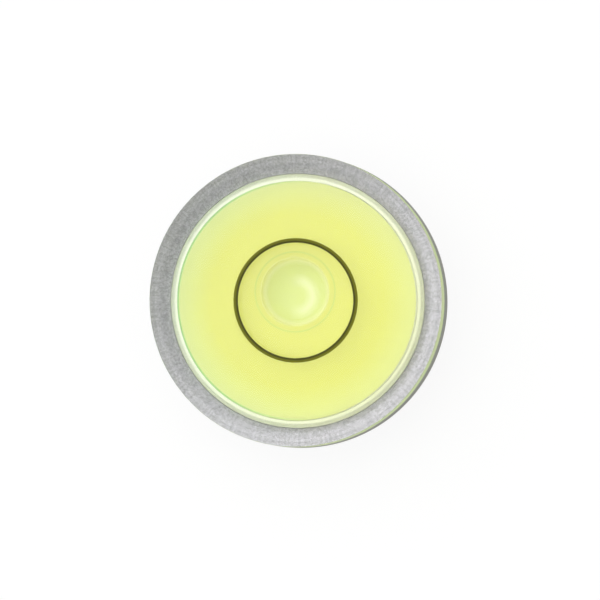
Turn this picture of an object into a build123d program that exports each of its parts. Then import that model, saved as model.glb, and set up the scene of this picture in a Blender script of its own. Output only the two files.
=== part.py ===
from build123d import *
from math import cos, degrees, radians, sin, tan
import os

# A round bullseye level: a clear lens cap and a white cup, welded into a vial of spirit, in a turned ring.
# Millimetres. The origin is the centre of the underside, and +Z is up.

# Whole level
outer_radius = 16.0
overall_height = 11.0

# Housing ring, turned aluminium. Its top is dished to a shallow cone that centres the cap's flange.
ring_wall = 2.07
seat_height = 5.5
seat_rise_angle = 8.0
base_edge_break = 0.3
seat_edge_break = 0.12

# Lens cap, clear acrylic. Its ceiling is part of a sphere, so the bubble runs to the high side.
lens_thickness = 2.0
travel_per_degree = 2.0
cap_bevel = 0.55
cap_bevel_depth = 0.13

# Cup, white ABS, with a dished rim and a stepped fill hole through its floor
cup_wall = 0.78
cup_floor = 1.2
cup_foot_gap = 0.3
cup_foot_chamfer = 0.25
cup_corner_chamfer = 0.5
rim_slope_width = 0.33
rim_slope_angle = 25.0
fill_hole_radius = 1.0
fill_seat_radius = 1.8
fill_seat_depth = 0.6
fill_hole_edge_distance = 5.38
fill_hole_bearing = 225.0

# Sighting ring, black paint in a groove that is turned into the top of the lens
sight_inner_radius = 6.31
sight_line_width = 0.5
sight_groove_depth = 0.15

# Spirit and its bubble. The level stands a little out of true, so the bubble lies off centre.
bubble_radius = 4.37
bubble_shift_x = -0.15
bubble_shift_y = 0.96
capillary_length = 1.69
contact_angle = 15.0

# Fits
cup_clearance = 0.05
cement_gap = 0.03
fill_margin = 0.02
plug_clearance = 0.02
paint_margin = 0.01

# Worked out from the sizes above
bore_radius = outer_radius - ring_wall
cup_radius = bore_radius - cup_clearance
cavity_radius = cup_radius - cup_wall
rim_flat_radius = cup_radius - rim_slope_width
rim_flat_height = seat_height - rim_slope_width * tan(radians(rim_slope_angle))
cavity_floor_height = cup_foot_gap + cup_floor
fill_hole_offset = cup_radius - fill_hole_edge_distance
ceiling_radius = travel_per_degree / radians(1)
ceiling_apex_height = overall_height - lens_thickness
ceiling_centre_height = ceiling_apex_height - ceiling_radius
sight_outer_radius = sight_inner_radius + sight_line_width


def turned(outline):
    """A solid turned about Z from a closed outline of (radius, height) points."""
    face = make_face(Polyline(*outline, close=True))
    return revolve(Plane.XZ * face, Axis.Z)


def disc(radius, low, high):
    """A round slug on the Z axis between two heights."""
    return Pos(0, 0, low) * Cylinder(radius, high - low, align=(Align.CENTER, Align.CENTER, Align.MIN))


def seat_at(radius):
    """Height of the ring's dished seat at a radius: it rises outwards."""
    return seat_height + (radius - bore_radius) * tan(radians(seat_rise_angle))


def housing_ring():
    """The aluminium ring: a plain bore, a dished seat and broken edges."""
    rim = outer_radius - seat_edge_break
    outline = [
        (bore_radius, base_edge_break),
        (bore_radius + base_edge_break, 0),
        (outer_radius - base_edge_break, 0),
        (outer_radius, base_edge_break),
        (outer_radius, seat_at(outer_radius) - seat_edge_break),
        (rim, seat_at(rim)),
        (bore_radius, seat_height),
    ]
    return turned(outline)


def cavity(margin):
    """The sealed space in the vial, drawn in from every wall by a margin."""
    wall = cavity_radius - margin
    floor = cavity_floor_height + margin
    barrel = disc(wall, floor, overall_height)
    barrel = chamfer(barrel.edges().sort_by(Axis.Z)[0], cup_corner_chamfer)
    dome = Pos(0, 0, ceiling_centre_height) * Rot(90, 0, 0) * Sphere(ceiling_radius - margin)
    return barrel & dome


def sight_band(margin):
    """The sighting ring's band in the lens top, drawn in by a margin on its sides and its bed."""
    bed = overall_height - sight_groove_depth + margin
    outer = disc(sight_outer_radius - margin, bed, overall_height)
    return outer - disc(sight_inner_radius + margin, bed, overall_height)


def lens_cap():
    """The clear cap: a bevelled flange over the ring, an edge in the cup's rim and a domed ceiling."""
    outline = [
        (0, overall_height),
        (outer_radius - cap_bevel, overall_height),
        (outer_radius, overall_height - cap_bevel_depth),
        (outer_radius, seat_at(outer_radius) + cement_gap),
        (bore_radius, seat_height + cement_gap),
        (cup_radius, seat_height + cement_gap),
        (rim_flat_radius, rim_flat_height + cement_gap),
        (0, rim_flat_height + cement_gap),
    ]
    return turned(outline) - cavity(0) - sight_band(0)


def at_fill_hole(shape):
    """Moves a shape from the Z axis to the fill hole's axis."""
    bearing = radians(fill_hole_bearing)
    return Pos(fill_hole_offset * cos(bearing), fill_hole_offset * sin(bearing), 0) * shape


def vial_cup():
    """The white cup: a thin wall with a dished rim in the ring's bore, and a floor with the fill hole."""
    outline = [
        (0, cup_foot_gap),
        (cup_radius - cup_foot_chamfer, cup_foot_gap),
        (cup_radius, cup_foot_gap + cup_foot_chamfer),
        (cup_radius, seat_height),
        (rim_flat_radius, rim_flat_height),
        (0, rim_flat_height),
    ]
    hole = disc(fill_hole_radius, 0, cavity_floor_height)
    seat = disc(fill_seat_radius, 0, cup_foot_gap + fill_seat_depth)
    return turned(outline) - cavity(0) - at_fill_hole(hole + seat)


def fill_plug():
    """The stepped plug that seals the fill hole, flush with the cup's floor on both sides."""
    shoulder = cup_foot_gap + fill_seat_depth - plug_clearance
    head = disc(fill_seat_radius - plug_clearance, cup_foot_gap, shoulder)
    stem = disc(fill_hole_radius - plug_clearance, shoulder, cavity_floor_height)
    return at_fill_hole(head + stem)


def sighting_ring():
    """The black line that the bubble is read against, a hair below the lens top."""
    return sight_band(paint_margin) - disc(outer_radius, overall_height - paint_margin, overall_height + 1)


def meniscus(foot_radius):
    """Points (radius, height) up the wall of a bubble under a flat roof, from its foot to the roof.

    The curvature is 2 / foot_radius at the foot and grows with height, as the liquid's pressure falls.
    """
    step = capillary_length / 150
    radius, height, slope = step, 0.0, step / foot_radius
    points = [(radius, height)]
    while slope < radians(180 - contact_angle):
        curvature = 2 / foot_radius + height / capillary_length**2 - sin(slope) / radius
        radius += cos(slope) * step
        height += sin(slope) * step
        slope += curvature * step
        points.append((radius, height))
    return points


def bubble_wall():
    """The meniscus whose widest radius is the bubble's, found by halving the range of its foot radius."""
    low, high = bubble_radius / 2, bubble_radius * 20
    while high - low > bubble_radius / 1000:
        middle = (low + high) / 2
        widest = max(radius for radius, height in meniscus(middle))
        if widest < bubble_radius:
            low = middle
        else:
            high = middle
    return meniscus(low)


def bubble():
    """The bubble against the ceiling, rolled along it to the high side, with room above to cut through."""
    stations = 8
    wall = bubble_wall()
    picked = [wall[round(i * (len(wall) - 1) / stations)] for i in range(1, stations + 1)]
    contact = (-cos(radians(contact_angle)), sin(radians(contact_angle)))
    side = Spline((0, 0), *picked, tangents=[(1, 0), contact])
    film_radius, depth = picked[-1]
    top = depth + lens_thickness
    lid = Polyline(picked[-1], (film_radius, top), (0, top), (0, 0))
    shape = revolve(Plane.XZ * make_face(side + lid), Axis.Z)
    roll = Rot(-degrees(bubble_shift_y / ceiling_radius), degrees(bubble_shift_x / ceiling_radius), 0)
    return Pos(0, 0, ceiling_centre_height) * roll * Pos(0, 0, ceiling_radius - depth) * shape


def spirit():
    """The dyed spirit that fills the vial, open at the ceiling where the bubble floats."""
    return cavity(fill_margin) - bubble()


parts = {
    "housing_ring": housing_ring(),
    "vial_cup": vial_cup(),
    "fill_plug": fill_plug(),
    "spirit": spirit(),
    "lens_cap": lens_cap(),
    "sighting_ring": sighting_ring(),
}

os.makedirs("parts", exist_ok=True)
for name, shape in parts.items():
    export_step(shape, f"parts/{name}.step")
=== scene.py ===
"""Dresses the bullseye level: smooth turned pieces, their finishes, the studio and the camera."""

import logging
from collections.abc import Callable
from dataclasses import dataclass, field
from enum import Enum, StrEnum
from math import acos, ceil, cos, degrees, hypot, pi, radians, sin, sqrt, tan
from typing import Self

import bpy
from mathutils import Matrix, Vector


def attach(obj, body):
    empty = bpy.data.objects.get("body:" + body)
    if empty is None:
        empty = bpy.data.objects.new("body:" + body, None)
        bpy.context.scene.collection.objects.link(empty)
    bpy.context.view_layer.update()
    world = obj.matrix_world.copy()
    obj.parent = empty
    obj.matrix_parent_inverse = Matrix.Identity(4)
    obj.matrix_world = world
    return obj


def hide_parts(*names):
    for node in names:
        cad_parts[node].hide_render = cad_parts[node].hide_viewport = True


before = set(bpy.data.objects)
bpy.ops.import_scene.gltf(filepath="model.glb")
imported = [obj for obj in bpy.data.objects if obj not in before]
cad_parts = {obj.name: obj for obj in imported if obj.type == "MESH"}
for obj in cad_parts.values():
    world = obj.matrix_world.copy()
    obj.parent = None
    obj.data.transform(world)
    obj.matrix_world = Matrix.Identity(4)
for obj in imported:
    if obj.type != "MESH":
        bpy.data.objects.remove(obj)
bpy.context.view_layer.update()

MM = 0.001
log = logging.getLogger("level")

Point = tuple[float, float]
Stops = tuple[tuple[float, str], ...]
Tree = bpy.types.NodeTree
Socket = bpy.types.NodeSocket
Material = bpy.types.Material
Piece = bpy.types.Object

# A Mix node's colour sockets, by place, because its number sockets have the same names: the share of the
# second colour, the two colours, and the result
SHARE, UNDER, OVER, MIXED = 0, 6, 7, 2
BLACK, WHITE = "#000000", "#FFFFFF"


class Kind(StrEnum):
    """The kinds of node that are used more than once."""

    BUMP = "ShaderNodeBump"
    LIGHT_PATH = "ShaderNodeLightPath"
    MAP = "ShaderNodeMapRange"
    MATH = "ShaderNodeMath"
    MIX = "ShaderNodeMix"
    MIX_SHADER = "ShaderNodeMixShader"
    NOISE = "ShaderNodeTexNoise"
    PLACE = "ShaderNodeTexCoord"
    RAMP = "ShaderNodeValToRGB"
    SMOOTH = "GeometryNodeSetShadeSmooth"
    SPLIT = "ShaderNodeSeparateXYZ"
    VECTOR = "ShaderNodeVectorMath"
    WAVE = "ShaderNodeTexWave"


# Colour and nodes


def linear(hex_colour: str, alpha: float = 1.0) -> tuple[float, float, float, float]:
    """Turns an sRGB hex colour into the linear values that Blender's sockets take.

    Args:
        hex_colour: the colour as "#RRGGBB".
        alpha: the fourth value.

    Returns:
        Red, green, blue and alpha, linear.
    """
    shares = [int(hex_colour[i:i + 2], 16) / 255 for i in (1, 3, 5)]
    low = [share / 12.92 for share in shares]
    high = [((share + 0.055) / 1.055) ** 2.4 for share in shares]
    red, painted_green_edge, blue = (low[i] if shares[i] <= 0.04045 else high[i] for i in range(3))
    return red, painted_green_edge, blue, alpha


def set_inputs(tree: Tree, node: bpy.types.Node, values: dict, links: dict) -> None:
    """Sets a node's constants and links its inputs.

    Args:
        tree: the tree that the node is in.
        node: the node.
        values: constants, by the input's name or number.
        links: output sockets that feed inputs, by the input's name or number.
    """
    for name, value in values.items():
        node.inputs[name].default_value = value
    for name, source in links.items():
        tree.links.new(source, node.inputs[name])


def put(
    tree: Tree,
    kind: str,
    values: dict | None = None,
    links: dict | None = None,
    stops: Stops = (),
    **settings: object,
) -> bpy.types.Node:
    """Adds one node to a tree, with its settings and links.

    Args:
        tree: the material's, the world's or the modifier's node tree.
        kind: the node's type name.
        values: constants, by the input's name or number.
        links: output sockets that feed inputs, by the input's name or number.
        stops: the places and sRGB hex colours of a colour ramp, in rising order.
        settings: the node's own properties.

    Returns:
        The new node.
    """
    node = tree.nodes.new(kind)
    for name, value in settings.items():
        setattr(node, name, value)
    set_inputs(tree, node, values or {}, links or {})
    if stops:
        elements = node.color_ramp.elements
        for place, _ in stops[2:]:
            elements.new(place)
        for element, (place, colour) in zip(elements, stops):
            element.position = place
            element.color = linear(colour)
    return node


def axis_distance(tree: Tree, place: Socket) -> Socket:
    """Works out how far a place is from the Z axis, and returns the socket that holds it."""
    flat = put(tree, Kind.VECTOR, operation="MULTIPLY", values={1: (1, 1, 0)}, links={0: place})
    return put(tree, Kind.VECTOR, operation="LENGTH", links={0: flat.outputs[0]}).outputs["Value"]


def span(start_mm: float, end_mm: float) -> dict[str, float]:
    """A Map Range node's values for a range that is given in millimetres."""
    return {"From Min": start_mm * MM, "From Max": end_mm * MM}


def noise_scale(grain_mm: float) -> float:
    """The Noise Texture's scale that gives grains of a size, as they are one unit across at scale 1."""
    return 1 / (grain_mm * MM)


def wave_scale(width_mm: float) -> float:
    """The Wave Texture's scale that gives lines of a width, as its wave is 2 pi / 20 long at scale 1."""
    return pi / (10 * width_mm * MM)


# Turned forms


@dataclass
class Outline:
    """A turned piece's half section in millimetres.

    It is walked from the axis over the top, down the outside and back in below, so faces point outwards.
    """

    corners: list[tuple[float, float, float]] = field(default_factory=list)
    closed: bool = False
    arc_step: float = 15.0
    flat_margin: float = 0.02

    def to(self, radius: float, height: float, rounding: float = 0.0) -> Self:
        """Walks to a corner, which is rounded by a radius, and returns the outline."""
        self.corners.append((radius, height, rounding))
        return self

    def along(self, points: list[Point]) -> Self:
        """Walks through the points of a curve.

        Args:
            points: radius and height of each point in turn.

        Returns:
            The outline.
        """
        for radius, height in points:
            self.to(radius, height)
        return self

    def points(self) -> list[Point]:
        """Lists the outline's points, with its corners rounded.

        Returns:
            Radius and height of each point in turn.
        """
        walked: list[Point] = []
        count = len(self.corners)
        for i, (radius, height, rounding) in enumerate(self.corners):
            is_end = not self.closed and i in (0, count - 1)
            if rounding == 0 or is_end:
                walked.append((radius, height))
                continue
            before = Vector(self.corners[i - 1][:2])
            after = Vector(self.corners[(i + 1) % count][:2])
            walked += self.rounded(before, Vector((radius, height)), after, rounding)
        return walked

    def rounded(self, before: Vector, corner: Vector, after: Vector, rounding: float) -> list[Point]:
        """Rounds one corner, with a point just outside each end of the arc that keeps the flats flat.

        Args:
            before: the corner before.
            corner: the corner that is rounded.
            after: the corner after.
            rounding: the arc's radius.

        Returns:
            The arc's points and its two outer points.
        """
        coming = (corner - before).normalized()
        going = (after - corner).normalized()
        turn = acos(max(-1.0, min(1.0, coming.dot(going))))
        reach = rounding * tan(turn / 2)
        side = 1 if coming.x * going.y - coming.y * going.x > 0 else -1
        start = corner - coming * reach
        centre = start + Vector((-coming.y, coming.x)) * side * rounding
        steps = max(2, ceil(degrees(turn) / self.arc_step))
        arm = start - centre
        arc = [centre + Matrix.Rotation(side * turn * step / steps, 2) @ arm for step in range(steps + 1)]
        margin = min(rounding / 2, self.flat_margin)
        return [tuple(p) for p in [start - coming * margin, *arc, corner + going * (reach + margin)]]


@dataclass(frozen=True)
class Roll:
    """How a pocket rolls along a domed ceiling, and what stays put. With these values nothing rolls."""

    angle: float = 0.0
    axis: tuple[float, float, float] = (1.0, 0.0, 0.0)
    centre_height: float = 0.0
    moved_radius: float = 1.0
    still_radius: float = 2.0
    still_height: float = 1.0
    still_top: float = 2.0


@dataclass
class Lathe:
    """Turns outlines into closed meshes with Geometry Nodes."""

    steps: int = 256
    sharp_angle: float = 32.0
    path_radius: float = 1.0
    weld: float = 0.001
    tree: Tree = field(init=False)

    def __post_init__(self) -> None:
        """Builds the one tree that turns every piece."""
        self.tree = self.turning_tree()

    def turning_tree(self) -> Tree:
        """Builds the tree that sweeps a half section round the axis and rolls a pocket in it.

        Returns:
            The node tree, with its sizes as named inputs.
        """
        tree = bpy.data.node_groups.new("turning", "GeometryNodeTree")
        inputs = {
            "Section": "Geometry",
            "Steps": "Int",
            "Sharp Angle": "Float",
            "Roll Angle": "Float",
            "Roll Axis": "Vector",
            "Roll Centre": "Vector",
            "Moved Radius": "Float",
            "Still Radius": "Float",
            "Still Height": "Float",
            "Still Top": "Float",
            "Finish": "Material",
        }
        for name, kind in inputs.items():
            tree.interface.new_socket(name, in_out="INPUT", socket_type=f"NodeSocket{kind}")
        tree.interface.new_socket("Piece", in_out="OUTPUT", socket_type="NodeSocketGeometry")
        given = put(tree, "NodeGroupInput").outputs

        # The section starts nearer to the axis by the path's radius, and lies down to be the path's profile
        radius = self.path_radius * MM
        path = put(
            tree,
            "GeometryNodeCurvePrimitiveCircle",
            values={"Radius": radius},
            links={"Resolution": given["Steps"]},
        )
        section = put(
            tree,
            "GeometryNodeTransform",
            values={"Translation": (-radius, 0, 0), "Rotation": (pi / 2, 0, 0)},
            links={"Geometry": given["Section"]},
        )
        curve = put(tree, "GeometryNodeMeshToCurve", links={"Mesh": section.outputs[0]})
        swept = put(
            tree,
            "GeometryNodeCurveToMesh",
            links={"Curve": path.outputs[0], "Profile Curve": curve.outputs[0]},
        )
        merged = put(
            tree,
            "GeometryNodeMergeByDistance",
            values={"Distance": self.weld * MM},
            links={"Geometry": swept.outputs[0]},
        )
        rolled = put(
            tree,
            "GeometryNodeSetPosition",
            links={"Geometry": merged.outputs[0], "Position": self.rolled_place(tree, given)},
        )

        # Edges past the sharp angle stay sharp, and the rest is smooth
        edge = put(tree, "GeometryNodeInputMeshEdgeAngle").outputs["Unsigned Angle"]
        smooth = put(tree, Kind.MATH, operation="LESS_THAN", links={0: edge, 1: given["Sharp Angle"]})
        edges = put(
            tree,
            Kind.SMOOTH,
            domain="EDGE",
            links={"Geometry": rolled.outputs[0], "Shade Smooth": smooth.outputs[0]},
        )
        faces = put(
            tree,
            Kind.SMOOTH,
            domain="FACE",
            values={"Shade Smooth": True},
            links={"Geometry": edges.outputs[0]},
        )
        real = put(tree, "GeometryNodeRealizeInstances", links={"Geometry": faces.outputs[0]})
        dressed = put(
            tree,
            "GeometryNodeSetMaterial",
            links={"Geometry": real.outputs[0], "Material": given["Finish"]},
        )
        put(tree, "NodeGroupOutput", links={"Piece": dressed.outputs[0]})
        return tree

    @staticmethod
    def rolled_place(tree: Tree, given: bpy.types.NodeOutputs) -> Socket:
        """Works out each point's place once the pocket has rolled along its ceiling.

        Args:
            tree: the turning tree.
            given: the outputs of its Group Input node.

        Returns:
            The socket that holds the place.
        """
        place = put(tree, "GeometryNodeInputPosition").outputs[0]
        height = put(tree, Kind.SPLIT, links={0: place}).outputs[2]
        inner = put(
            tree,
            Kind.MAP,
            interpolation_type="SMOOTHSTEP",
            values={"To Min": 1.0, "To Max": 0.0},
            links={
                "Value": axis_distance(tree, place),
                "From Min": given["Moved Radius"],
                "From Max": given["Still Radius"],
            },
        )
        above = put(tree, Kind.MATH, operation="GREATER_THAN", links={0: height, 1: given["Still Height"]})
        below = put(tree, Kind.MATH, operation="LESS_THAN", links={0: height, 1: given["Still Top"]})
        angle = inner.outputs[0]
        for factor in (above.outputs[0], below.outputs[0], given["Roll Angle"]):
            angle = put(tree, Kind.MATH, operation="MULTIPLY", links={0: angle, 1: factor}).outputs[0]
        turned = put(
            tree,
            "ShaderNodeVectorRotate",
            rotation_type="AXIS_ANGLE",
            links={
                "Vector": place,
                "Center": given["Roll Centre"],
                "Axis": given["Roll Axis"],
                "Angle": angle,
            },
        )
        return turned.outputs[0]

    def turn(self, name: str, outline: Outline, finish: Material, roll: Roll = Roll()) -> Piece:
        """Turns one piece about the Z axis.

        Args:
            name: the piece's name.
            outline: its half section, in millimetres.
            finish: its material.
            roll: how its pocket rolls along the ceiling, where it has one.

        Returns:
            The piece, a plain mesh in metres.
        """
        points = [(radius * MM, 0.0, height * MM) for radius, height in outline.points()]
        edges = [(i, i + 1) for i in range(len(points) - 1)]
        if outline.closed:
            edges.append((len(points) - 1, 0))
        section = bpy.data.meshes.new(name)
        section.from_pydata(points, edges, [])
        piece = bpy.data.objects.new(name, section)
        bpy.context.scene.collection.objects.link(piece)

        modifier = piece.modifiers.new("turning", "NODES")
        modifier.node_group = self.tree
        inputs = {
            "Steps": self.steps,
            "Sharp Angle": radians(self.sharp_angle),
            "Roll Angle": roll.angle,
            "Roll Axis": roll.axis,
            "Roll Centre": (0.0, 0.0, roll.centre_height * MM),
            "Moved Radius": roll.moved_radius * MM,
            "Still Radius": roll.still_radius * MM,
            "Still Height": roll.still_height * MM,
            "Still Top": roll.still_top * MM,
            "Finish": finish,
        }
        for socket in self.tree.interface.items_tree:
            if socket.in_out == "INPUT" and socket.name in inputs:
                modifier[socket.identifier] = inputs[socket.name]
        return plain(piece)


def plain(piece: Piece) -> Piece:
    """Turns what a piece's modifiers make into its own mesh, and takes them off.

    Args:
        piece: the object with live modifiers.

    Returns:
        The same object.
    """
    bpy.context.view_layer.update()
    graph = bpy.context.evaluated_depsgraph_get()
    mesh = bpy.data.meshes.new_from_object(piece.evaluated_get(graph), depsgraph=graph)
    piece.modifiers.clear()
    piece.data = mesh
    mesh.name = piece.name
    return piece


def finish_faces(piece: Piece, finish: Material, wanted: Callable[[Vector, Vector], bool]) -> None:
    """Gives some of a piece's faces a finish of their own.

    Args:
        piece: the piece.
        finish: the faces' material.
        wanted: tells from a face's centre in millimetres and its normal whether it is one of them.
    """
    piece.data.materials.append(finish)
    for face in piece.data.polygons:
        if wanted(face.center / MM, face.normal):
            face.material_index = len(piece.data.materials) - 1


# Finishes


def new_material(name: str) -> tuple[Material, Tree, bpy.types.Node]:
    """Starts a material.

    Args:
        name: the real material's name.

    Returns:
        The material, its tree and its Principled shader.
    """
    material = bpy.data.materials.new(name)
    material.use_nodes = True
    tree = material.node_tree
    return material, tree, tree.nodes["Principled BSDF"]


def let_lamps_through(tree: Tree, surface: bpy.types.Node, tint: str) -> None:
    """Lets the lamps' rays through a clear shader, with a tint, so what it covers is lit.

    Args:
        tree: the material's node tree.
        surface: the clear shader.
        tint: the share of each colour that gets through, as an sRGB hex colour.
    """
    path = put(tree, Kind.LIGHT_PATH).outputs
    open_way = put(tree, "ShaderNodeBsdfTransparent", values={"Color": linear(tint)})
    mixed = put(
        tree,
        Kind.MIX_SHADER,
        links={0: path["Is Shadow Ray"], 1: surface.outputs[0], 2: open_way.outputs[0]},
    )
    tree.links.new(mixed.outputs[0], tree.nodes["Material Output"].inputs["Surface"])


@dataclass(frozen=True)
class SatinAluminium:
    """Turned and lightly blasted aluminium: grey, with one broad highlight and a fine grain.

    Towards its rim it is painted brighter, a painted light for how the rim shows through the cap's bevel,
    and its outer wall is painted darker and olive, a painted shade for the sheet's shadow that it mirrors,
    with the lines that the tool leaves.
    Real grit leaves pits of some 0.05 mm, and a fine cut a line each 0.1 mm or less. Both are drawn
    coarser here, because they would be smaller than a pixel.
    """

    colour: str = "#B5B2BA"
    shade: str = "#949298"
    # The rim's two grain tones are painted brighter than the face's: painted light for how the rim shows
    # through the cap's bevel
    rim: str = "#CBC8D0"
    rim_shade: str = "#AAA8AE"
    # The outer wall's tones are painted shade, dark and olive for the sheet's shadow that it mirrors; the
    # two tones draw the turning lines
    wall: str = "#7F8173"
    wall_shade: str = "#6A6C60"
    rim_start: float = 15.0
    rim_radius: float = 15.6
    wall_radius: float = 15.93
    darkest: float = 0.38
    lightest: float = 0.62
    roughness: float = 0.5
    roughness_swing: float = 0.06
    grain_mm: float = 0.26
    cloud_mm: float = 2.34
    cloud_share: float = 0.15
    turning_mm: float = 0.3
    relief_mm: float = 0.01
    grain_relief: float = 0.3
    turning_relief: float = 0.04

    def material(self) -> Material:
        """Builds the material.

        Returns:
            A metal whose grain tilts the highlight and whose turning lines run round the axis.
        """
        material, tree, surface = new_material("turned_satin_aluminium")
        place = put(tree, Kind.PLACE).outputs["Object"]
        away = axis_distance(tree, place)
        grain = put(
            tree,
            Kind.NOISE,
            values={"Scale": noise_scale(self.grain_mm), "Detail": 1.5, "Roughness": 0.6},
            links={"Vector": place},
        ).outputs["Fac"]
        cloud = put(
            tree,
            Kind.NOISE,
            values={"Scale": noise_scale(self.cloud_mm), "Detail": 2.0},
            links={"Vector": place},
        ).outputs["Fac"]
        cloud = put(tree, Kind.MATH, operation="MULTIPLY", values={1: self.cloud_share}, links={0: cloud})
        speck = put(
            tree,
            Kind.MATH,
            operation="MULTIPLY_ADD",
            values={1: 1 - self.cloud_share},
            links={0: grain, 2: cloud.outputs[0]},
        ).outputs[0]
        rings = put(
            tree,
            Kind.WAVE,
            wave_type="RINGS",
            rings_direction="Z",
            values={"Scale": wave_scale(self.turning_mm), "Distortion": 0.4},
            links={"Vector": place},
        ).outputs["Fac"]
        bands = put(
            tree,
            Kind.WAVE,
            wave_type="BANDS",
            bands_direction="Z",
            values={"Scale": wave_scale(self.turning_mm), "Distortion": 1.0, "Detail": 2.0},
            links={"Vector": place},
        ).outputs["Fac"]
        relief = {}
        for height, strength in ((grain, self.grain_relief), (rings, self.turning_relief)):
            bump = put(
                tree,
                Kind.BUMP,
                values={"Strength": strength, "Distance": self.relief_mm * MM},
                links={"Height": height, **relief},
            )
            relief = {"Normal": bump.outputs[0]}
        rough = put(
            tree,
            Kind.MAP,
            values={
                "To Min": self.roughness - self.roughness_swing,
                "To Max": self.roughness + self.roughness_swing,
            },
            links={"Value": speck},
        )

        # The tones: the face, the rim painted brighter as painted light, and the outer wall painted darker
        # as painted shade
        pairs = ((self.shade, self.colour), (self.rim_shade, self.rim))
        face, rim = (
            put(tree, Kind.RAMP, stops=((self.darkest, dark), (self.lightest, light)), links={"Fac": speck})
            for dark, light in pairs
        )
        wall = put(tree, Kind.RAMP, stops=((0.0, self.wall_shade), (1.0, self.wall)), links={"Fac": bands})
        # Painted light on the rim and painted shade on the outer wall are laid over the grain
        outer = put(tree, Kind.MAP, values=span(self.rim_start, self.rim_radius), links={"Value": away})
        side = put(
            tree, Kind.MATH, operation="GREATER_THAN", values={1: self.wall_radius * MM}, links={0: away}
        )
        tone = face.outputs[0]
        for share, over in ((outer, rim), (side, wall)):
            links = {SHARE: share.outputs[0], UNDER: tone, OVER: over.outputs[0]}
            tone = put(tree, Kind.MIX, data_type="RGBA", links=links).outputs[MIXED]
        links = {"Base Color": tone, "Roughness": rough.outputs[0], **relief}
        set_inputs(tree, surface, {"Metallic": 1.0}, links)
        return material


@dataclass(frozen=True)
class ClearAcrylic:
    """Polished cast acrylic: clear, with sharp pale reflections."""

    name: str = "polished_cast_acrylic"
    colour: str = "#FEFFFF"
    ior: float = 1.49
    roughness: float = 0.0
    lamp_tint: str = "#FDFEFE"

    def material(self) -> Material:
        """Builds the material.

        Returns:
            Glass that lets the lamps through to what it covers.
        """
        material, tree, surface = new_material(self.name)
        values = {
            "Base Color": linear(self.colour),
            "Roughness": self.roughness,
            "IOR": self.ior,
            "Transmission Weight": 1.0,
        }
        set_inputs(tree, surface, values, {})
        let_lamps_through(tree, surface, self.lamp_tint)
        return material


@dataclass(frozen=True)
class FrostedEdge:
    """The cap's turned acrylic edge: frosted, and painted yellow-green, a painted glow for the dye's light
    that it gathers.

    The tool's lines are drawn coarser than the real ones, which are some 0.05 mm apart, so that they show.
    """

    # Both tones are a painted glow, the yellow-green of the dye's light gathered in the edge; their
    # difference draws the tool's lines
    colour: str = "#C2E04E"
    shade: str = "#B2D03E"
    roughness: float = 0.3
    clearness: float = 0.55
    ior: float = 1.49
    gloss: float = 0.15
    tool_mm: float = 0.12
    relief_mm: float = 0.01
    tool_relief: float = 0.15
    lamp_tint: str = "#B9BCB0"

    def material(self) -> Material:
        """Builds the material.

        Returns:
            A cloudy plastic, painted yellow-green as a painted glow, with the fine lines that the turning
            tool leaves round it.
        """
        material, tree, surface = new_material("turned_acrylic_edge")
        place = put(tree, Kind.PLACE).outputs["Object"]
        lines = put(
            tree,
            Kind.WAVE,
            wave_type="BANDS",
            bands_direction="Z",
            values={"Scale": wave_scale(self.tool_mm), "Distortion": 0.6, "Detail": 1.0},
            links={"Vector": place},
        ).outputs["Fac"]
        relief = put(
            tree,
            Kind.BUMP,
            values={"Strength": self.tool_relief, "Distance": self.relief_mm * MM},
            links={"Height": lines},
        )
        tone = put(tree, Kind.RAMP, stops=((0.0, self.shade), (1.0, self.colour)), links={"Fac": lines})
        values = {
            "Roughness": self.roughness,
            "IOR": self.ior,
            "Transmission Weight": self.clearness,
            "Specular IOR Level": self.gloss,
        }
        set_inputs(tree, surface, values, {"Base Color": tone.outputs[0], "Normal": relief.outputs[0]})
        let_lamps_through(tree, surface, self.lamp_tint)
        return material


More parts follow.
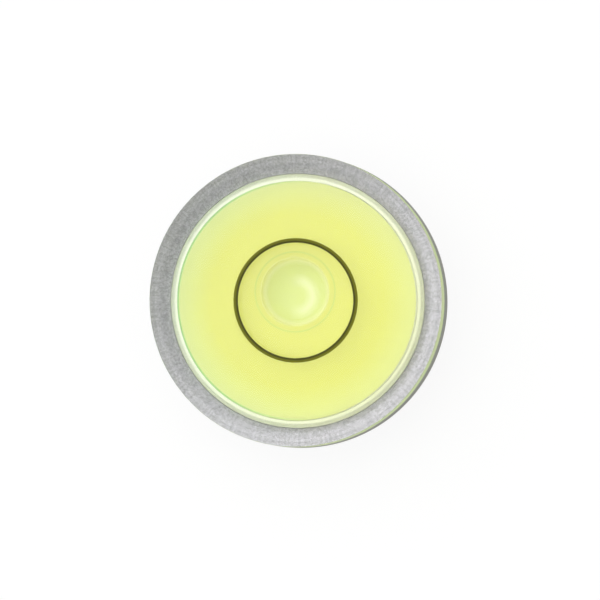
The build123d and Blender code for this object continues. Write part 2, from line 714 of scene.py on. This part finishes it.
@dataclass(frozen=True)
class MouldedAbs:
    """Moulded white ABS: soft and matte, with the fine texture of its mould.

    Inside the cup the dye has stained it yellow. Towards the wall the yellow is painted paler, a painted
    light that lifts the shade which the wall casts on the floor. The mould's texture is drawn a pixel wide,
    coarser than the real one of some 0.03 mm, so that it shows.
    """

    colour: str = "#EDEEDF"
    stained: str = "#F5F5C2"
    # The paler yellow towards the wall is painted light that lifts the wall's shade
    stain_with_painted_light: str = "#F0FBE0"
    roughness: float = 0.5
    painted_paling_radius: float = 7.0
    stained_radius: float = 13.2
    stained_height: float = 1.0
    rim_height: float = 5.3
    texture_mm: float = 0.12
    relief_mm: float = 0.01
    texture_relief: float = 0.1

    def material(self) -> Material:
        """Builds the material.

        Returns:
            A plastic that is white outside and on its rim, and stained where the spirit wets it, painted
            paler towards the wall.
        """
        material, tree, surface = new_material("moulded_white_abs")
        place = put(tree, Kind.PLACE).outputs["Object"]
        away = axis_distance(tree, place)
        height = put(tree, Kind.SPLIT, links={0: place}).outputs[2]
        tests = (
            (away, "LESS_THAN", self.stained_radius),
            (height, "GREATER_THAN", self.stained_height),
            (height, "LESS_THAN", self.rim_height),
        )
        inside, above, below = (
            put(tree, Kind.MATH, operation=test, values={1: limit * MM}, links={0: measure}).outputs[0]
            for measure, test, limit in tests
        )
        wet = inside
        for factor in (above, below):
            wet = put(tree, Kind.MATH, operation="MULTIPLY", links={0: wet, 1: factor}).outputs[0]
        texture = put(
            tree,
            Kind.NOISE,
            values={"Scale": noise_scale(self.texture_mm), "Detail": 2.0},
            links={"Vector": place},
        )
        relief = put(
            tree,
            Kind.BUMP,
            values={"Strength": self.texture_relief, "Distance": self.relief_mm * MM},
            links={"Height": texture.outputs["Fac"]},
        )
        # Painted light: the yellow turns paler towards the wall, lifting the shade that the wall casts
        painted_paling = span(self.painted_paling_radius, self.stained_radius)
        outwards = put(tree, Kind.MAP, values=painted_paling, links={"Value": away})
        stops = ((0.0, self.stained), (1.0, self.stain_with_painted_light))
        stain = put(tree, Kind.RAMP, stops=stops, links={"Fac": outwards.outputs[0]})
        tone = put(
            tree,
            Kind.MIX,
            data_type="RGBA",
            values={UNDER: linear(self.colour)},
            links={SHARE: wet, OVER: stain.outputs[0]},
        )
        links = {"Base Color": tone.outputs[MIXED], "Normal": relief.outputs[0]}
        set_inputs(tree, surface, {"Roughness": self.roughness}, links)
        return material


@dataclass(frozen=True)
class DyedSpirit:
    """Alcohol with a fluorescent dye: clear, yellow-green, deeper in colour where it is deeper.

    The light and shade that the wall and the bubble bend into it are painted as paler and greener tones,
    which are laid over the dye by radius, side and distance from the bubble, with a painted highlight in the
    bubble and a faint painted glow. All radii and places are in millimetres.
    """

    colour: str = "#F2F278"
    # Painted light: the paler and greener tones towards the wall, greener on the window's side
    painted_pale_edge: str = "#F4F8A8"
    painted_green_edge: str = "#F5FFAE"
    painted_paling_radius: float = 9.5
    pale_radius: float = 13.2
    painted_green_side: Point = (6.0, -10.0)
    # A painted shade: the green line at the wall on the window's side
    painted_shade_line: str = "#B4EA92"
    edge_radius: float = 12.9
    edge_range: Point = (2.0, -8.0)

    # The bubble's disc, halo and line are painted light for what its wall bends
    bubble_shift: Point = (-0.15, 0.96)
    disc: str = "#E2EC8A"
    disc_radius: float = 3.1
    halo: str = "#F4F7BC"
    halo_radius: float = 3.5
    halo_end: float = 3.9
    outer_line: str = "#D0E676"
    line_radius: float = 4.375
    line_width: float = 0.1
    fade_range: Point = (4.5, 4.9)
    reach: float = 5.0

    # A painted highlight: the crescent of window light in the bubble
    sheen: str = "#F5F9CE"
    sheen_radius: float = 1.7
    sheen_width: float = 0.9
    sheen_shift: Point = (-0.1, 0.55)
    sheen_range: Point = (-1.2, 0.8)

    absorbed: str = "#F8F7A0"
    density: float = 60.0
    clearness: float = 0.35
    # A painted glow: a faint emission that stands for the dye's fluorescence
    glow: str = "#FFFC78"
    glow_strength: float = 0.02
    roughness: float = 0.0
    ior: float = 1.36
    lamp_tint: str = "#FEFDE6"

    def material(self) -> Material:
        """Builds the material.

        Returns:
            A liquid whose volume takes the blue out of the light.
        """
        material, tree, surface = new_material("dyed_spirit")
        place = put(tree, Kind.PLACE).outputs["Object"]
        across = put(tree, Kind.SPLIT, links={0: place}).outputs[0]
        away = axis_distance(tree, place)
        tone = self.dye_with_painted_edge_light(tree, across, away)
        tone = self.at_edge(tree, across, away, tone)
        tone = self.over_bubble(tree, place, tone)
        tone = self.over_sheen(tree, place, across, tone)
        # The emission is a painted glow
        values = {
            "Roughness": self.roughness,
            "IOR": self.ior,
            "Transmission Weight": self.clearness,
            "Emission Color": linear(self.glow),
            "Emission Strength": self.glow_strength,
        }
        set_inputs(tree, surface, values, {"Base Color": tone})
        let_lamps_through(tree, surface, self.lamp_tint)
        dye = put(
            tree,
            "ShaderNodeVolumeAbsorption",
            values={"Color": linear(self.absorbed), "Density": self.density},
        )
        tree.links.new(dye.outputs[0], tree.nodes["Material Output"].inputs["Volume"])
        return material

    def dye_with_painted_edge_light(self, tree: Tree, across: Socket, away: Socket) -> Socket:
        """Mixes the dye's colour with painted light: even in the middle, and towards the wall painted paler,
        and greener on the window's side at the left than at the right.

        Args:
            tree: the material's node tree.
            across: the socket that holds the place's X.
            away: the socket that holds its distance from the axis.

        Returns:
            The socket that holds the colour.
        """
        painted_paling = span(self.painted_paling_radius, self.pale_radius)
        outwards = put(tree, Kind.MAP, values=painted_paling, links={"Value": away}).outputs[0]
        left, right = (
            put(tree, Kind.RAMP, stops=((0.0, self.colour), (1.0, outer)), links={"Fac": outwards})
            for outer in (self.painted_green_edge, self.painted_pale_edge)
        )
        side = put(tree, Kind.MAP, values=span(*self.painted_green_side), links={"Value": across})
        links = {SHARE: side.outputs[0], UNDER: right.outputs[0], OVER: left.outputs[0]}
        return put(tree, Kind.MIX, data_type="RGBA", links=links).outputs[MIXED]

    def at_edge(self, tree: Tree, across: Socket, away: Socket, tone: Socket) -> Socket:
        """Lays a painted green line of shade over the dye, at the wall on the window's side.

        Args:
            tree: the material's node tree.
            across: the socket that holds the place's X.
            away: the socket that holds its distance from the axis.
            tone: the dye's colour.

        Returns:
            The socket that holds the new colour.
        """
        far = put(
            tree, Kind.MATH, operation="GREATER_THAN", values={1: self.edge_radius * MM}, links={0: away}
        )
        side = put(tree, Kind.MAP, values=span(*self.edge_range), links={"Value": across})
        links = {0: far.outputs[0], 1: side.outputs[0]}
        share = put(tree, Kind.MATH, operation="MULTIPLY", links=links)
        return put(
            tree,
            Kind.MIX,
            data_type="RGBA",
            values={OVER: linear(self.painted_shade_line)},
            links={SHARE: share.outputs[0], UNDER: tone},
        ).outputs[MIXED]

    def over_bubble(self, tree: Tree, place: Socket, tone: Socket) -> Socket:
        """Lays painted light over the dye for what the bubble's wall bends: a greener disc, a pale halo and
        a green line.

        Args:
            tree: the material's node tree.
            place: the socket that holds the place.
            tone: the dye's colour.

        Returns:
            The socket that holds the new colour.
        """
        away = self.share_of(tree, place, self.bubble_shift, self.reach)
        rings = put(tree, Kind.RAMP, links={"Fac": away}, stops=(
            (self.disc_radius / self.reach, self.disc),
            (self.halo_radius / self.reach, self.halo),
            (self.halo_end / self.reach, self.colour),
            ((self.line_radius - self.line_width) / self.reach, self.colour),
            (self.line_radius / self.reach, self.outer_line),
            ((self.line_radius + self.line_width) / self.reach, self.colour),
        ))
        start, end = self.fade_range
        stops = ((start / self.reach, WHITE), (end / self.reach, BLACK))
        near = put(tree, Kind.RAMP, links={"Fac": away}, stops=stops)
        links = {SHARE: near.outputs[0], UNDER: tone, OVER: rings.outputs[0]}
        return put(tree, Kind.MIX, data_type="RGBA", links=links).outputs[MIXED]

    def over_sheen(self, tree: Tree, place: Socket, across: Socket, tone: Socket) -> Socket:
        """Lays a painted highlight: the crescent of window light that stands in the bubble's middle.

        Args:
            tree: the material's node tree.
            place: the socket that holds the place.
            across: the socket that holds its X.
            tone: the colour below.

        Returns:
            The socket that holds the new colour.
        """
        inner = self.sheen_radius - self.sheen_width
        outer = self.sheen_radius + self.sheen_width
        away = self.share_of(tree, place, self.sheen_shift, outer)
        stops = ((inner / outer, BLACK), (self.sheen_radius / outer, WHITE), (1.0, BLACK))
        arc = put(tree, Kind.RAMP, links={"Fac": away}, stops=stops)
        side = put(
            tree,
            Kind.MAP,
            interpolation_type="SMOOTHSTEP",
            values=span(*self.sheen_range),
            links={"Value": across},
        )
        links = {0: arc.outputs[0], 1: side.outputs[0]}
        crescent = put(tree, Kind.MATH, operation="MULTIPLY", links=links)
        return put(
            tree,
            Kind.MIX,
            data_type="RGBA",
            values={OVER: linear(self.sheen)},
            links={SHARE: crescent.outputs[0], UNDER: tone},
        ).outputs[MIXED]

    @staticmethod
    def share_of(tree: Tree, place: Socket, shift: Point, full: float) -> Socket:
        """Works out the distance from an upright axis as a share of a full distance.

        Args:
            tree: the material's node tree.
            place: the socket that holds the place.
            shift: the axis's X and Y, in millimetres.
            full: the distance that counts as 1, in millimetres.

        Returns:
            The socket that holds the share.
        """
        step = (shift[0] * MM, shift[1] * MM, 0.0)
        moved = put(tree, Kind.VECTOR, operation="SUBTRACT", values={1: step}, links={0: place})
        away = axis_distance(tree, moved.outputs[0])
        return put(tree, Kind.MATH, operation="DIVIDE", values={1: full * MM}, links={0: away}).outputs[0]


@dataclass(frozen=True)
class GroovePaint:
    """Matte black paint in a groove: darker at its inner side, lighter and olive towards its outer side."""

    colour: str = "#38380A"
    olive: str = "#6A6A10"
    dark_radius: float = 6.44
    olive_radius: float = 6.66
    roughness: float = 0.6
    gloss: float = 0.2
    cloud_mm: float = 1.4
    cloud_share: float = 0.3
    darkest: float = 0.1
    lightest: float = 0.85

    def material(self) -> Material:
        """Builds the material.

        Returns:
            A paint that is lighter and olive towards the groove's outer side.
        """
        material, tree, surface = new_material("groove_paint")
        place = put(tree, Kind.PLACE).outputs["Object"]
        cloud = put(
            tree,
            Kind.NOISE,
            values={"Scale": noise_scale(self.cloud_mm), "Detail": 3.0},
            links={"Vector": place},
        ).outputs["Fac"]
        cloud = put(tree, Kind.MATH, operation="MULTIPLY", values={1: self.cloud_share}, links={0: cloud})
        away = axis_distance(tree, place)
        across = put(tree, Kind.MAP, values=span(self.dark_radius, self.olive_radius), links={"Value": away})
        tone_share = put(
            tree,
            Kind.MATH,
            operation="MULTIPLY_ADD",
            values={1: 1 - self.cloud_share},
            links={0: across.outputs[0], 2: cloud.outputs[0]},
        )
        stops = ((self.darkest, self.colour), (self.lightest, self.olive))
        tone = put(tree, Kind.RAMP, stops=stops, links={"Fac": tone_share.outputs[0]})
        values = {"Roughness": self.roughness, "Specular IOR Level": self.gloss}
        set_inputs(tree, surface, values, {"Base Color": tone.outputs[0]})
        return material


@dataclass(frozen=True)
class StudioSheet:
    """The white sheet under the level: matte, nearly white."""

    colour: str = "#F7F7F7"
    glow: float = 0.9

    def material(self) -> Material:
        """Builds the material.

        Returns:
            A matte white that keeps the level's shadow and glows only for the eye, the metal and the glass.
        """
        material, tree, surface = new_material("studio_sheet")
        values = {"Base Color": linear(self.colour), "Roughness": 1.0, "Specular IOR Level": 0.0}
        set_inputs(tree, surface, values, {})
        path = put(tree, Kind.LIGHT_PATH).outputs
        seen = path["Is Camera Ray"]
        for ray in ("Is Glossy Ray", "Is Transmission Ray"):
            seen = put(tree, Kind.MATH, operation="MAXIMUM", links={0: seen, 1: path[ray]}).outputs[0]
        share = put(tree, Kind.MATH, operation="MULTIPLY", values={1: self.glow}, links={0: seen})
        white = put(tree, "ShaderNodeEmission", values={"Color": linear(WHITE), "Strength": 1.0})
        mixed = put(
            tree,
            Kind.MIX_SHADER,
            links={0: share.outputs[0], 1: surface.outputs[0], 2: white.outputs[0]},
        )
        tree.links.new(mixed.outputs[0], tree.nodes["Material Output"].inputs["Surface"])
        return material


# The level


@dataclass
class HousingRing:
    """The turned aluminium ring."""

    outer_radius: float = 16.0
    bore_radius: float = 13.93
    seat_height: float = 5.5
    seat_rise_angle: float = 8.0
    base_break: float = 0.3
    base_rounding: float = 0.08
    seat_break: float = 0.12
    seat_rounding: float = 0.03
    bore_rounding: float = 0.02

    def seat_at(self, radius: float) -> float:
        """The conical seat's height at a radius."""
        return self.seat_height + (radius - self.bore_radius) * tan(radians(self.seat_rise_angle))

    def outline(self) -> Outline:
        """Draws the ring's half section.

        Returns:
            The closed outline, from the seat's inner edge round the outer wall and the base.
        """
        rim = self.outer_radius - self.seat_break
        return (
            Outline(closed=True)
            .to(self.bore_radius, self.seat_height, self.bore_rounding)
            .to(rim, self.seat_at(rim), self.seat_rounding)
            .to(self.outer_radius, self.seat_at(self.outer_radius) - self.seat_break, self.seat_rounding)
            .to(self.outer_radius, self.base_break, self.base_rounding)
            .to(self.outer_radius - self.base_break, 0, self.base_rounding)
            .to(self.bore_radius + self.base_break, 0, self.base_rounding)
            .to(self.bore_radius, self.base_break, self.base_rounding)
        )

    def build(self, lathe: Lathe, finish: Material) -> Piece:
        """Turns the ring."""
        return lathe.turn("satin_ring", self.outline(), finish)


@dataclass
class FillPlug:
    """The stepped plug in the cup's floor."""

    bearing: float = 225.0
    offset: float = 8.5
    head_radius: float = 1.8
    head_rounding: float = 0.06
    stem_radius: float = 1.0
    foot: float = 0.3
    shoulder: float = 0.9
    top: float = 1.5
    clearance: float = 0.02

    def place(self) -> Matrix:
        """The move from the Z axis to the plug's own axis, in metres."""
        angle = radians(self.bearing)
        return Matrix.Translation((self.offset * cos(angle) * MM, self.offset * sin(angle) * MM, 0))

    def outline(self, clearance: float, over: float = 0.0) -> Outline:
        """Draws the plug's half section, or that of the hole for it.

        Args:
            clearance: how far it is drawn in from the hole's walls.
            over: how much longer it is at both ends, for a cutter, whose edges are then sharp.

        Returns:
            The outline, from the stem's top to the foot's middle.
        """
        stem = self.stem_radius - clearance
        head = self.head_radius - clearance
        shoulder = self.shoulder - clearance
        return (
            Outline()
            .to(0, self.top + over)
            .to(stem, self.top + over)
            .to(stem, shoulder)
            .to(head, shoulder)
            .to(head, self.foot - over, 0.0 if over else self.head_rounding)
            .to(0, self.foot - over)
        )

    def build(self, lathe: Lathe, finish: Material) -> Piece:
        """Turns the plug and moves its mesh to its hole.

        Args:
            lathe: what turns it.
            finish: its material.

        Returns:
            The plug.
        """
        piece = lathe.turn("cup_plug", self.outline(self.clearance), finish)
        piece.data.transform(self.place())
        return piece


@dataclass
class VialCup:
    """The moulded white cup that holds the spirit."""

    plug: FillPlug
    radius: float = 13.88
    cavity_radius: float = 13.1
    foot: float = 0.3
    foot_chamfer: float = 0.25
    foot_rounding: float = 0.08
    floor: float = 1.5
    corner: float = 0.5
    corner_rounding: float = 0.1
    rim: float = 5.5
    rim_rounding: float = 0.03
    rim_flat_radius: float = 13.55
    rim_flat_height: float = 5.346
    rim_flat_rounding: float = 0.3
    inner_rounding: float = 0.05
    cutter_over: float = 0.4

    def outline(self) -> Outline:
        """Draws the cup's half section.

        Returns:
            The outline, from the floor's middle over the rim and under the foot.
        """
        return (
            Outline()
            .to(0, self.floor)
            .to(self.cavity_radius - self.corner, self.floor, self.corner_rounding)
            .to(self.cavity_radius, self.floor + self.corner, self.corner_rounding)
            .to(self.cavity_radius, self.rim_flat_height, self.inner_rounding)
            .to(self.rim_flat_radius, self.rim_flat_height, self.rim_flat_rounding)
            .to(self.radius, self.rim, self.rim_rounding)
            .to(self.radius, self.foot + self.foot_chamfer, self.foot_rounding)
            .to(self.radius - self.foot_chamfer, self.foot, self.foot_rounding)
            .to(0, self.foot)
        )

    def build(self, lathe: Lathe, finish: Material) -> Piece:
        """Turns the cup and cuts the fill hole through its floor.

        Args:
            lathe: what turns it.
            finish: its material.

        Returns:
            The cup.
        """
        piece = lathe.turn("white_cup", self.outline(), finish)
        cutter = lathe.turn("fill_hole", self.plug.outline(0.0, self.cutter_over), finish)
        cutter.data.transform(self.plug.place())
        hole = piece.modifiers.new("fill_hole", "BOOLEAN")
        hole.object = cutter
        hole.solver = "EXACT"
        plain(piece)
        piece.data.set_sharp_from_angle(angle=radians(lathe.sharp_angle))
        bpy.data.objects.remove(cutter)
        return piece


@dataclass
class Bubble:
    """The bubble in the spirit, which floats to the high side of the ceiling."""

    radius: float = 4.37
    shift: Point = (-0.15, 0.96)
    capillary_length: float = 1.69
    contact_angle: float = 15.0
    length_steps: int = 150
    foot_range: Point = (0.5, 20.0)
    precision: float = 0.001
    wall_points: int = 64
    roll_margin: float = 0.3
    roll_depth: float = 5.0
    roll_over: float = 0.5
    wall: list[Point] = field(init=False)

    def __post_init__(self) -> None:
        """Works out the wall once."""
        self.wall = self.fitted_wall()

    def meniscus(self, foot_radius: float) -> list[Point]:
        """Works out the wall of a bubble under a flat roof, by the Young-Laplace rule.

        Args:
            foot_radius: the radius of curvature at the bubble's foot.

        Returns:
            Radius and height of points from the foot up to the roof.
        """
        step = self.capillary_length / self.length_steps
        radius, height, slope = step, 0.0, step / foot_radius
        points = [(radius, height)]
        while slope < radians(180 - self.contact_angle):
            curvature = 2 / foot_radius + height / self.capillary_length**2 - sin(slope) / radius
            radius += cos(slope) * step
            height += sin(slope) * step
            slope += curvature * step
            points.append((radius, height))
        return points

    def fitted_wall(self) -> list[Point]:
        """Finds the meniscus whose widest radius is the bubble's, and thins it to a few dozen points.

        Returns:
            Radius and height of points from the foot up to the roof.
        """
        low, high = (self.radius * share for share in self.foot_range)
        while high - low > self.radius * self.precision:
            middle = (low + high) / 2
            if max(radius for radius, _ in self.meniscus(middle)) < self.radius:
                low = middle
            else:
                high = middle
        points = self.meniscus(low)
        last, count = len(points) - 1, self.wall_points
        return [points[round(i * last / count)] for i in range(count + 1)]

    def film_radius(self) -> float:
        """The radius where the bubble's wall meets the ceiling."""
        return self.wall[-1][0]

    def distance(self, place: Vector) -> float:
        """How far a place is from the bubble's own axis."""
        return hypot(place.x - self.shift[0], place.y - self.shift[1])

    def roll(self, apex: float, ceiling_radius: float, cavity_radius: float) -> Roll:
        """Says how the bubble rolls along the ceiling to the high side.

        Args:
            apex: the ceiling's height on the axis.
            ceiling_radius: the radius of the sphere that it is part of.
            cavity_radius: the radius of the space for the spirit.

        Returns:
            The roll, which leaves the cavity's edge and all that is above the ceiling in place.
        """
        shift = hypot(*self.shift)
        return Roll(
            angle=shift / ceiling_radius,
            axis=(-self.shift[1] / shift, self.shift[0] / shift, 0.0),
            centre_height=apex - ceiling_radius,
            moved_radius=self.radius + self.roll_margin,
            still_radius=cavity_radius - self.roll_margin,
            still_height=apex - self.roll_depth,
            still_top=apex + self.roll_over,
        )


@dataclass
class LensCap:
    """The clear acrylic cap with its flange, domed ceiling and engraved groove."""

    ring: HousingRing
    cup: VialCup
    bubble: Bubble
    top: float = 11.0
    bevel: float = 0.55
    bevel_depth: float = 0.13
    bevel_rounding: float = 0.5
    rim_rounding: float = 0.05
    foot_rounding: float = 0.04
    ceiling_apex: float = 9.0
    ceiling_radius: float = 2.0 / radians(1)
    cavity_radius: float = 13.1
    cement_gap: float = 0.03
    groove_inner: float = 6.31
    groove_outer: float = 6.81
    groove_depth: float = 0.15
    groove_rounding: float = 0.01
    wall_margin: float = 0.02
    apex_margin: float = 0.1
    wall_slope: float = 0.5

    def ceiling_at(self, radius: float) -> float:
        """The ceiling's height at a radius."""
        centre = self.ceiling_apex - self.ceiling_radius
        return centre + sqrt(self.ceiling_radius**2 - radius**2)

    def ceiling(self, inner: float, outer: float, drop: float = 0.0, steps: int = 30) -> list[Point]:
        """Points along the ceiling from one radius to another, lowered by a drop."""
        spots = [inner + (outer - inner) * i / steps for i in range(steps + 1)]
        return [(spot, self.ceiling_at(spot) - drop) for spot in spots]

    def outline(self) -> Outline:
        """Draws the cap's half section.

        Returns:
            The outline, from the top's middle over the groove and the flange to the ceiling's apex.
        """
        rim = self.ring.outer_radius
        bed = self.top - self.groove_depth
        edge = self.cup.rim_flat_height + self.cement_gap
        film = self.bubble.film_radius()
        return (
            Outline()
            .to(0, self.top)
            .to(self.groove_inner, self.top, self.groove_rounding)
            .to(self.groove_inner, bed)
            .to(self.groove_outer, bed)
            .to(self.groove_outer, self.top, self.groove_rounding)
            .to(rim - self.bevel, self.top, self.bevel_rounding)
            .to(rim, self.top - self.bevel_depth, self.rim_rounding)
            .to(rim, self.ring.seat_at(rim) + self.cement_gap, self.foot_rounding)
            .to(self.cup.radius, self.ring.seat_height + self.cement_gap)
            .to(self.cup.rim_flat_radius, edge)
            .to(self.cavity_radius, edge)
            .along(self.ceiling(self.cavity_radius, film))
            .along(self.ceiling(film, 0.0)[1:])
        )

    def is_wet(self, centre: Vector, _: Vector) -> bool:
        """Whether a face is one that the spirit wets: inside the cavity and beside the bubble.

        Args:
            centre: the face's centre, in millimetres.
            _: its normal, which doesn't count here.

        Returns:
            True for a wetted face.
        """
        within = hypot(centre.x, centre.y) < self.cavity_radius + self.wall_margin
        under = centre.z < self.ceiling_apex + self.apex_margin
        return within and under and self.bubble.distance(centre) > self.bubble.film_radius()

    def is_edge(self, centre: Vector, normal: Vector) -> bool:
        """Whether a face, by its centre and normal, is on the flange's outer wall."""
        outside = hypot(centre.x, centre.y) > self.ring.outer_radius - self.wall_margin
        return outside and abs(normal.z) < self.wall_slope

    def build(self, lathe: Lathe, finish: Material) -> Piece:
        """Turns the cap, frosts the wall of its flange and wets its ceiling.

        The spirit's solid stops a hair short of the walls that it wets. So their index is that of acrylic
        against spirit, or the gap would mirror as a film of air does.

        Args:
            lathe: what turns it.
            finish: its polished material.

        Returns:
            The cap, with three materials.
        """
        roll = self.bubble.roll(self.ceiling_apex, self.ceiling_radius, self.cavity_radius)
        piece = lathe.turn("clear_cap", self.outline(), finish, roll)
        finish_faces(piece, FrostedEdge().material(), self.is_edge)
        wetted = ClearAcrylic(name="wetted_cast_acrylic", ior=ClearAcrylic.ior / DyedSpirit.ior)
        finish_faces(piece, wetted.material(), self.is_wet)
        return piece


@dataclass
class SightingRing:
    """The paint that fills the groove in the lens."""

    cap: LensCap
    margin: float = 0.01
    rounding: float = 0.02

    def outline(self) -> Outline:
        """Draws the paint's half section, a hair inside the groove.

        Returns:
            The closed outline.
        """
        inner = self.cap.groove_inner + self.margin
        outer = self.cap.groove_outer - self.margin
        top = self.cap.top - self.margin
        bed = self.cap.top - self.cap.groove_depth + self.margin
        outline = Outline(closed=True)
        for radius, height in ((inner, top), (outer, top), (outer, bed), (inner, bed)):
            outline.to(radius, height, self.rounding)
        return outline

    def build(self, lathe: Lathe, finish: Material) -> Piece:
        """Turns the painted line."""
        return lathe.turn("painted_line", self.outline(), finish)


@dataclass
class Spirit:
    """The dyed spirit, with the bubble as a pocket under the ceiling."""

    cap: LensCap
    bubble: Bubble
    floor: float = 1.5
    corner: float = 0.5
    corner_rounding: float = 0.1
    margin: float = 0.02
    ceiling_steps: int = 40

    def outline(self) -> Outline:
        """Draws the spirit's half section, with the bubble's pocket still on the axis.

        Returns:
            The outline, from the pocket's foot up its wall, along the ceiling and down to the floor.
        """
        wall = self.bubble.wall
        film_radius, depth = wall[-1]
        foot = self.cap.ceiling_at(film_radius) - self.margin - depth
        side = self.cap.cavity_radius - self.margin
        floor = self.floor + self.margin
        return (
            Outline()
            .to(0, foot)
            .along([(radius, foot + height) for radius, height in wall])
            .along(self.cap.ceiling(film_radius + self.margin, side, self.margin, self.ceiling_steps))
            .to(side, floor + self.corner, self.corner_rounding)
            .to(side - self.corner, floor, self.corner_rounding)
            .to(0, floor)
        )

    def build(self, lathe: Lathe, finish: Material) -> Piece:
        """Turns the spirit and rolls its bubble off the axis.

        Args:
            lathe: what turns it.
            finish: its material.

        Returns:
            The spirit.
        """
        cap = self.cap
        roll = self.bubble.roll(cap.ceiling_apex, cap.ceiling_radius, cap.cavity_radius)
        return lathe.turn("yellow_spirit", self.outline(), finish, roll)


# Studio


@dataclass
class PhotoCamera:
    """A long lens far above the level, a little to its right."""

    frame_mm: float = 65.545
    distance_mm: float = 3000.0
    lean: float = 0.066
    lean_bearing: float = -14.0
    rim_height: float = 10.87
    rim_pixel: Point = (295.66, 300.4)
    picture: float = 600.0
    sensor_mm: float = 36.0
    clip: Point = (0.01, 20.0)

    def build(self) -> Piece:
        """Places the camera so that the rim falls where the photograph has it.

        Returns:
            The camera.
        """
        bearing = radians(self.lean_bearing)
        out = Vector((self.lean * cos(bearing), self.lean * sin(bearing), 1)).normalized()
        right = Vector((0, 1, 0)).cross(out).normalized()
        up = out.cross(right)
        mm_per_pixel = self.frame_mm / self.picture
        middle = self.picture / 2
        aim = (
            Vector((0, 0, self.rim_height))
            + right * (middle - self.rim_pixel[0]) * mm_per_pixel
            - up * (middle - self.rim_pixel[1]) * mm_per_pixel
        )
        data = bpy.data.cameras.new("photo_camera")
        data.sensor_width = self.sensor_mm
        data.lens = self.sensor_mm * self.distance_mm / self.frame_mm
        data.clip_start, data.clip_end = self.clip
        camera = bpy.data.objects.new("photo_camera", data)
        turn = Matrix((right, up, out)).transposed().to_4x4()
        camera.matrix_world = Matrix.Translation((aim + out * self.distance_mm) * MM) @ turn
        bpy.context.scene.collection.objects.link(camera)
        bpy.context.scene.camera = camera
        return camera


@dataclass(frozen=True)
class LightTent:
    """White cloth all round the level, lit from behind on one side, so its light has no edges."""

    shade: float = 0.38
    glow: float = 2.4
    bearing: float = 142.0
    zenith: float = 28.0
    inner_angle: float = 5.0
    outer_angle: float = 60.0

    def build(self) -> bpy.types.World:
        """Makes the world's light.

        Returns:
            The world.
        """
        world = bpy.data.worlds.new("light_tent")
        world.use_nodes = True
        tree = world.node_tree
        bearing, zenith = radians(self.bearing), radians(self.zenith)
        towards = (sin(zenith) * cos(bearing), sin(zenith) * sin(bearing), cos(zenith))
        way = put(tree, Kind.PLACE).outputs["Generated"]
        near = put(tree, Kind.VECTOR, operation="DOT_PRODUCT", values={1: towards}, links={0: way})
        strength = put(
            tree,
            Kind.MAP,
            interpolation_type="SMOOTHERSTEP",
            values={
                "From Min": cos(radians(self.outer_angle)),
                "From Max": cos(radians(self.inner_angle)),
                "To Min": self.shade,
                "To Max": self.glow,
            },
            links={"Value": near.outputs["Value"]},
        )
        lamp = tree.nodes["Background"]
        set_inputs(tree, lamp, {"Color": linear(WHITE)}, {"Strength": strength.outputs[0]})
        return world


@dataclass
class Studio:
    """The white sheet and the light tent."""

    tent: LightTent = LightTent()
    sheet_size: float = 1.6
    sheet_gap: float = 0.02

    def build(self) -> None:
        """Lays the sheet and lights the level."""
        bpy.context.scene.world = self.tent.build()
        half = self.sheet_size / 2
        low = -self.sheet_gap * MM
        corners = [(-half, -half, low), (half, -half, low), (half, half, low), (-half, half, low)]
        mesh = bpy.data.meshes.new("sheet")
        mesh.from_pydata(corners, [], [(0, 1, 2, 3)])
        mesh.materials.append(StudioSheet().material())
        sheet = bpy.data.objects.new("sheet", mesh)
        bpy.context.scene.collection.objects.link(sheet)


class Slot(Enum):
    """The material slots that the plan lists for each piece."""

    ALUMINIUM = "turned_aluminium"
    ABS = "white_abs"
    SPIRIT = "dyed_spirit"
    ACRYLIC = "clear_acrylic"
    PAINT = "black_paint"


def main() -> None:
    """Builds the level, dresses it, and sets up the studio and the camera."""
    logging.basicConfig(level=logging.INFO, format="%(name)s: %(message)s")
    bpy.context.scene.view_settings.view_transform = "Standard"

    PhotoCamera().build()
    Studio().build()

    lathe = Lathe()
    ring = HousingRing()
    plug = FillPlug()
    cup = VialCup(plug)
    bubble = Bubble()
    cap = LensCap(ring, cup, bubble)
    abs_white = MouldedAbs().material()
    plan = [
        (ring, SatinAluminium().material(), "housing_ring", Slot.ALUMINIUM),
        (cup, abs_white, "vial_cup", Slot.ABS),
        (plug, abs_white, "fill_plug", Slot.ABS),
        (Spirit(cap, bubble), DyedSpirit().material(), "spirit", Slot.SPIRIT),
        (cap, ClearAcrylic().material(), "lens_cap", Slot.ACRYLIC),
        (SightingRing(cap), GroovePaint().material(), "sighting_ring", Slot.PAINT),
    ]
    for part, finish, node, slot in plan:
        piece = part.build(lathe, finish)
        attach(piece, "root")
        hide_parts(node)
        log.info("%s stands for %s, %d faces", piece.name, node, len(piece.data.polygons))


if __name__ == "__main__":
    main()
